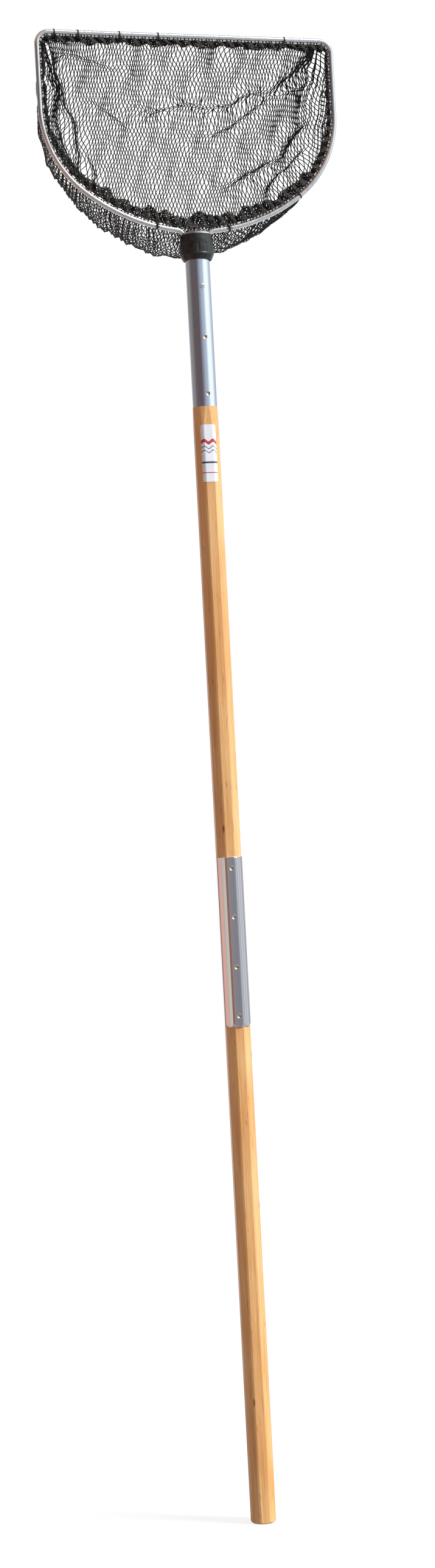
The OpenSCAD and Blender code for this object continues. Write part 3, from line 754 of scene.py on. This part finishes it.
def tie(centre, out, seed, turns, tail):
    """A lashing of a few turns round rod and wire: an oval about the two, set along the rod by its
    pitch; then a knot of crossed turns on the front and two short tails, each a cubic curve."""
    LASH_CORD, KNOT_CORD, TAIL_CORD = 0.55, 0.6, 0.5
    OVAL_IN, OVAL_DEEP, OVAL_PITCH, OVAL_SHIFT = 6.0, 4.75, 1.1, 1.45
    KNOT_OUT, KNOT_LONG, KNOT_DEEP = 4.8, 1.7, 0.9
    rng = np.random.default_rng(seed)
    out = np.array([out[0], 0.0, out[1]])
    inward = -out
    along = np.array([inward[2], 0.0, -inward[0]])
    front = np.array([0.0, -1.0, 0.0])
    mid = centre + inward * OVAL_SHIFT
    t = np.linspace(0, turns, turns * 22 + 1)
    turn = 2 * math.pi * t
    oval = np.outer(np.cos(turn) * OVAL_IN, inward) + np.outer(np.sin(turn) * OVAL_DEEP, front)
    climb = np.outer((t - turns / 2) * OVAL_PITCH, along)
    parts = [tube(mid + oval + climb, LASH_CORD, along)]
    seat = mid + front * KNOT_OUT + inward * (2.5 - tail)
    for lean in (0.5, -0.5):
        k = np.linspace(0, 1, 18)
        wrap = 2 * math.pi * k
        bar = along * math.cos(lean) + inward * math.sin(lean)
        ring = np.outer(np.cos(wrap) * KNOT_LONG, bar) + np.outer(np.sin(wrap) * KNOT_DEEP, front)
        parts.append(tube(seat + ring, KNOT_CORD, np.cross(bar, front)))
    for side in (-1, 1):
        k = np.linspace(0, 1, 12)
        end = (along * side * rng.uniform(2, 4) + out * tail * rng.uniform(3, 7)
               + front * rng.uniform(0.2, 1.0))
        bend = along * side * 3.0 + front * 1.2
        curve = np.outer(3 * k * (1 - k) ** 2 + 3 * k ** 2 * (1 - k), bend) + np.outer(k ** 3, end)
        parts.append(tube(seat + curve, TAIL_CORD, [0.3, 0.9, 0.31]))
    return joined(parts)


def under(x, cx, cz, radius):
    """the point at x on the lower half of a hoop curve, and the outward direction there"""
    reach = x - cx
    fall = math.sqrt(radius ** 2 - reach ** 2)
    return np.array([x, 0, cz - fall]), (reach / radius, -fall / radius)


top_parts = [
    tie(np.array([x, 0, HOOP_TOP_Z]), (0, 1), 20 + n, 2, -1) for n, x in enumerate(TOP_TIE_X)
]
low_parts = [tie(*under(x, 0, LOW_CZ, LOW_R), 40 + n, 3, 1) for n, x in enumerate(LOW_TIE_X)]
low_parts.append(tie(*under(SIDE_TIE_X, SIDE_CX, ARC_Z, SIDE_R), 44, 2, -1))
top_lashings = piece("top_lashings", *joined(top_parts), CORD, "black_cord")
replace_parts(top_lashings, "top_ties")
low_lashings = piece("lower_lashings", *joined(low_parts), CORD, "black_cord")
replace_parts(low_lashings, "lower_ties")


# ---------------------------------------------------------------- screws


HEAD_R, SHANK_R, SCREW_L = 4.0, 2.0, 20.0
SCREW_SIDES, SCREW_TIP_R = 48, 0.02


def dished_screw(azimuth, radius, z):
    """A countersunk screw with a dished head. Its depth is a function of radius r and angle: a
    flat rim, then a bowl whose depth falls off as the square of r, and a cross recess where
    x or y is small; the profile goes on round the rim, down the cone and the shank."""
    BOWL_R, BOWL_DEEP = 3.55, 1.25
    CROSS_HALF, CROSS_R, CROSS_DEEP, CROSS_TURN = 0.5, 2.4, 0.9, 0.5
    turn = np.arange(SCREW_SIDES) * 2 * math.pi / SCREW_SIDES
    face_r = np.linspace(SCREW_TIP_R, HEAD_R, 22)[:, None]
    x, y = face_r * np.cos(turn - CROSS_TURN), face_r * np.sin(turn - CROSS_TURN)
    bowl = -BOWL_DEEP * np.clip(1 - (face_r / BOWL_R) ** 2, 0, None) + 0 * x
    cross = np.exp(-(np.minimum(abs(x), abs(y)) / CROSS_HALF) ** 4) * (face_r < CROSS_R)
    under_r = np.array([HEAD_R, SHANK_R, SHANK_R, SCREW_TIP_R])[:, None]
    under_z = np.array([-0.3, -2.3, 4 - SCREW_L, -SCREW_L])[:, None]
    deep = np.concatenate([bowl - CROSS_DEEP * cross, under_z + 0 * turn])
    out = np.concatenate([face_r, under_r]) * np.ones(SCREW_SIDES)
    normal = np.array([math.sin(azimuth), -math.cos(azimuth), 0.0])
    across = np.array([math.cos(azimuth), math.sin(azimuth), 0.0])
    points = normal * (radius + deep)[..., None] + across * (out * np.cos(turn))[..., None]
    points[..., 2] += z + out * np.sin(turn)
    near, near_next, far_next, far = wall(len(deep), SCREW_SIDES)
    faces = np.stack([near, far, far_next, near_next], -1).reshape(-1, 4)
    fan = np.arange(1, SCREW_SIDES - 1, 2)
    cap = np.stack([0 * fan, fan, fan + 1, fan + 2], 1)
    tip = cap[:, ::-1] + (len(deep) - 1) * SCREW_SIDES
    return points.reshape(-1, 3), np.concatenate([faces, cap, tip])


def screw_row(name, node, azimuth, radius, heights):
    """screws at these heights on one side of the pole, in place of a node"""
    parts = [dished_screw(math.radians(azimuth), radius, z) for z in heights]
    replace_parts(piece(name, *joined(parts), ZINC, "zinc_screw", "pole"), node)


screw_row("dished_screws_lower", "sleeve_screws_lower", SLEEVE_AZIMUTH, SLEEVE_R, [
    SLEEVE_Z - SLEEVE_SCREW_FAR, SLEEVE_Z - SLEEVE_SCREW_NEAR,
])
screw_row("dished_screws_upper", "sleeve_screws_upper", SLEEVE_AZIMUTH, SLEEVE_R, [
    SLEEVE_Z + SLEEVE_SCREW_NEAR, SLEEVE_Z + SLEEVE_SCREW_FAR,
])
screw_row("dished_ferrule_screws", "ferrule_screws", 0, FERRULE_R, FERRULE_SCREW_Z)


# ---------------------------------------------------------------- studio


scene = bpy.context.scene
scene.view_settings.view_transform = "Standard"
scene.view_settings.look = "None"

AZIMUTH, ROLL = math.radians(-17.8), math.radians(-3.01)
DISTANCE, AXIS_OFFSET, EYE_Z = 4.466, 0.012, 1.2137
LENS_MM, FAR_CLIP = 62.4, 100
camera = bpy.data.objects.new("camera", bpy.data.cameras.new("camera"))
scene.collection.objects.link(camera)
right = Vector((math.cos(AZIMUTH), math.sin(AZIMUTH), 0))
back = Vector((math.sin(AZIMUTH), -math.cos(AZIMUTH), 0))
upright = Vector((0, 0, 1))
facing = Matrix((right, upright, back)).transposed().to_4x4()
camera.matrix_world = (
    Matrix.Translation(back * DISTANCE - right * AXIS_OFFSET + upright * EYE_Z)
    @ facing @ Matrix.Rotation(ROLL, 4, "Z")
)
camera.data.lens = LENS_MM
camera.data.clip_end = FAR_CLIP
scene.camera = camera

SUN_AZIMUTH, SUN_HEIGHT, SUN_WIDTH = math.radians(52), math.radians(48), math.radians(14)
sun = bpy.data.objects.new("key_light", bpy.data.lights.new("key_light", "SUN"))
scene.collection.objects.link(sun)
sun.data.energy = 5.0
sun.data.angle = SUN_WIDTH
sun.data.color = linear("#fffaf2")[:3]
to_sun = Vector((
    math.sin(SUN_AZIMUTH) * math.cos(SUN_HEIGHT), -math.cos(SUN_AZIMUTH) * math.cos(SUN_HEIGHT),
    math.sin(SUN_HEIGHT),
))
sun.rotation_mode = "QUATERNION"
sun.rotation_quaternion = to_sun.to_track_quat("Z", "Y")

# The room round the compass, as shares of a turn and colours: below eye level, just above it,
# and high up
LOW_BAND = [
    (0.0, "#cfa296"), (0.003, "#cfa296"), (0.006, "#8d837c"), (0.009, "#b9b5af"),
    (0.035, "#bdb8b1"), (0.045, "#7c736e"), (0.08, "#8c6350"), (0.16, "#8c6350"),
    (0.205, "#8f8c8f"), (0.245, "#7d7a80"), (0.275, "#7b787f"), (0.29, "#c4c6cc"),
    (0.32, "#8f9298"), (0.40, "#aeb2b8"), (0.470, "#b8bec5"), (0.485, "#c6c8ce"),
    (0.497, "#a3a3a8"), (0.508, "#c8c7cc"), (0.521, "#98989b"), (0.54, "#b4b3b6"),
    (0.58, "#d8dadf"), (0.75, "#e4e6ea"), (0.88, "#8c5f4a"), (0.955, "#6d5348"),
    (0.968, "#cfa296"), (1.0, "#cfa296"),
]
HIGH_BAND = [
    (0.0, "#55504f"), (0.06, "#544d52"), (0.17, "#504a52"), (0.215, "#80858f"),
    (0.25, "#a5adb9"), (0.32, "#a9b3c0"), (0.36, "#f6ffff"), (0.46, "#f6ffff"),
    (0.53, "#bcc2cf"), (0.60, "#a8adb9"), (0.75, "#b9bcc4"), (0.86, "#847f7f"),
    (0.92, "#8a8684"), (1.0, "#55504f"),
]
OVERHEAD = [
    (0.0, "#b98a70"), (0.17, "#a98472"), (0.27, "#9aa0a8"), (0.5, "#b4bac4"),
    (0.75, "#9aa0a8"), (0.88, "#b08a76"), (1.0, "#b98a70"),
]
WHITE = (1, 1, 1, 1)


def surround():
    """Soft room light: white wherever the camera looks, and for everything else three bands of
    height, each shaded round the compass, so that metal has something to mirror."""
    ROOM_STRENGTH = 1.45
    world = bpy.data.worlds.new("surround")
    scene.world = world
    world.use_nodes = True
    tree = world.node_tree
    tree.nodes.clear()
    way = add(tree, "ShaderNodeTexCoord").outputs["Generated"]
    compass = add(tree, "ShaderNodeTexGradient", {"Vector": way}, gradient_type="RADIAL")
    height = add(tree, "ShaderNodeSeparateXYZ", {"Vector": way}).outputs["Z"]
    low, high, over = (
        add(tree, "ShaderNodeValToRGB", {"Fac": compass.outputs["Fac"]}, stops).outputs["Color"]
        for stops in (LOW_BAND, HIGH_BAND, OVERHEAD)
    )
    sky = low
    for upper, from_height, to_height in ((high, -0.02, 0.06), (over, 0.25, 0.6)):
        share = add(tree, "ShaderNodeMapRange", {
            "Value": height, "From Min": from_height, "From Max": to_height,
        })
        sky = add(tree, "ShaderNodeMix", {
            FACTOR: share.outputs["Result"], FIRST: sky, SECOND: upper,
        }, **BLEND).outputs[MIXED]
    seen = add(tree, "ShaderNodeLightPath").outputs["Is Camera Ray"]
    room = add(tree, "ShaderNodeBackground", {"Color": sky, "Strength": ROOM_STRENGTH})
    plain = add(tree, "ShaderNodeBackground", {"Color": WHITE, "Strength": 1.0})
    mix = add(tree, "ShaderNodeMixShader", {
        0: seen, 1: room.outputs["Background"], 2: plain.outputs["Background"],
    })
    add(tree, "ShaderNodeOutputWorld", {"Surface": mix.outputs["Shader"]})


def pale_floor():
    """A disc at the butt's level, lit from within so that shadows on it stay faint, fading out at
    its rim."""
    FLOOR_R, FLOOR_Z, GLOW, GLOW_SEEN = 3.0, -0.0005, 0.22, 0.84
    angle = np.linspace(0, 2 * math.pi, 97)[:-1]
    edge_points = [(FLOOR_R * math.cos(a), FLOOR_R * math.sin(a), FLOOR_Z) for a in angle]
    floor_mesh = bpy.data.meshes.new("floor")
    floor_mesh.from_pydata(edge_points, [], [list(range(len(edge_points)))])
    floor = bpy.data.objects.new("floor", floor_mesh)
    scene.collection.objects.link(floor)
    mat, tree, place = start("pale_floor")
    out = add(tree, "ShaderNodeVectorMath", {0: place}, operation="LENGTH").outputs["Value"]
    fade = add(tree, "ShaderNodeMapRange", {"Value": out, "From Min": 0.7, "From Max": 2.8})
    seen = add(tree, "ShaderNodeLightPath").outputs["Is Camera Ray"]
    strength = add(tree, "ShaderNodeMapRange", {
        "Value": seen, "To Min": GLOW, "To Max": GLOW_SEEN,
    })
    glow = add(tree, "ShaderNodeEmission", {
        "Color": WHITE, "Strength": strength.outputs["Result"],
    })
    matt = add(tree, "ShaderNodeBsdfDiffuse", {"Color": (0.14, 0.14, 0.14, 1)})
    both = add(tree, "ShaderNodeAddShader", {
        0: glow.outputs["Emission"], 1: matt.outputs["BSDF"],
    })
    clear = add(tree, "ShaderNodeBsdfTransparent")
    mixed = add(tree, "ShaderNodeMixShader", {
        0: fade.outputs["Result"], 1: both.outputs["Shader"], 2: clear.outputs["BSDF"],
    })
    add(tree, "ShaderNodeOutputMaterial", {"Surface": mixed.outputs["Shader"]})
    floor_mesh.materials.append(mat)


surround()
pale_floor()
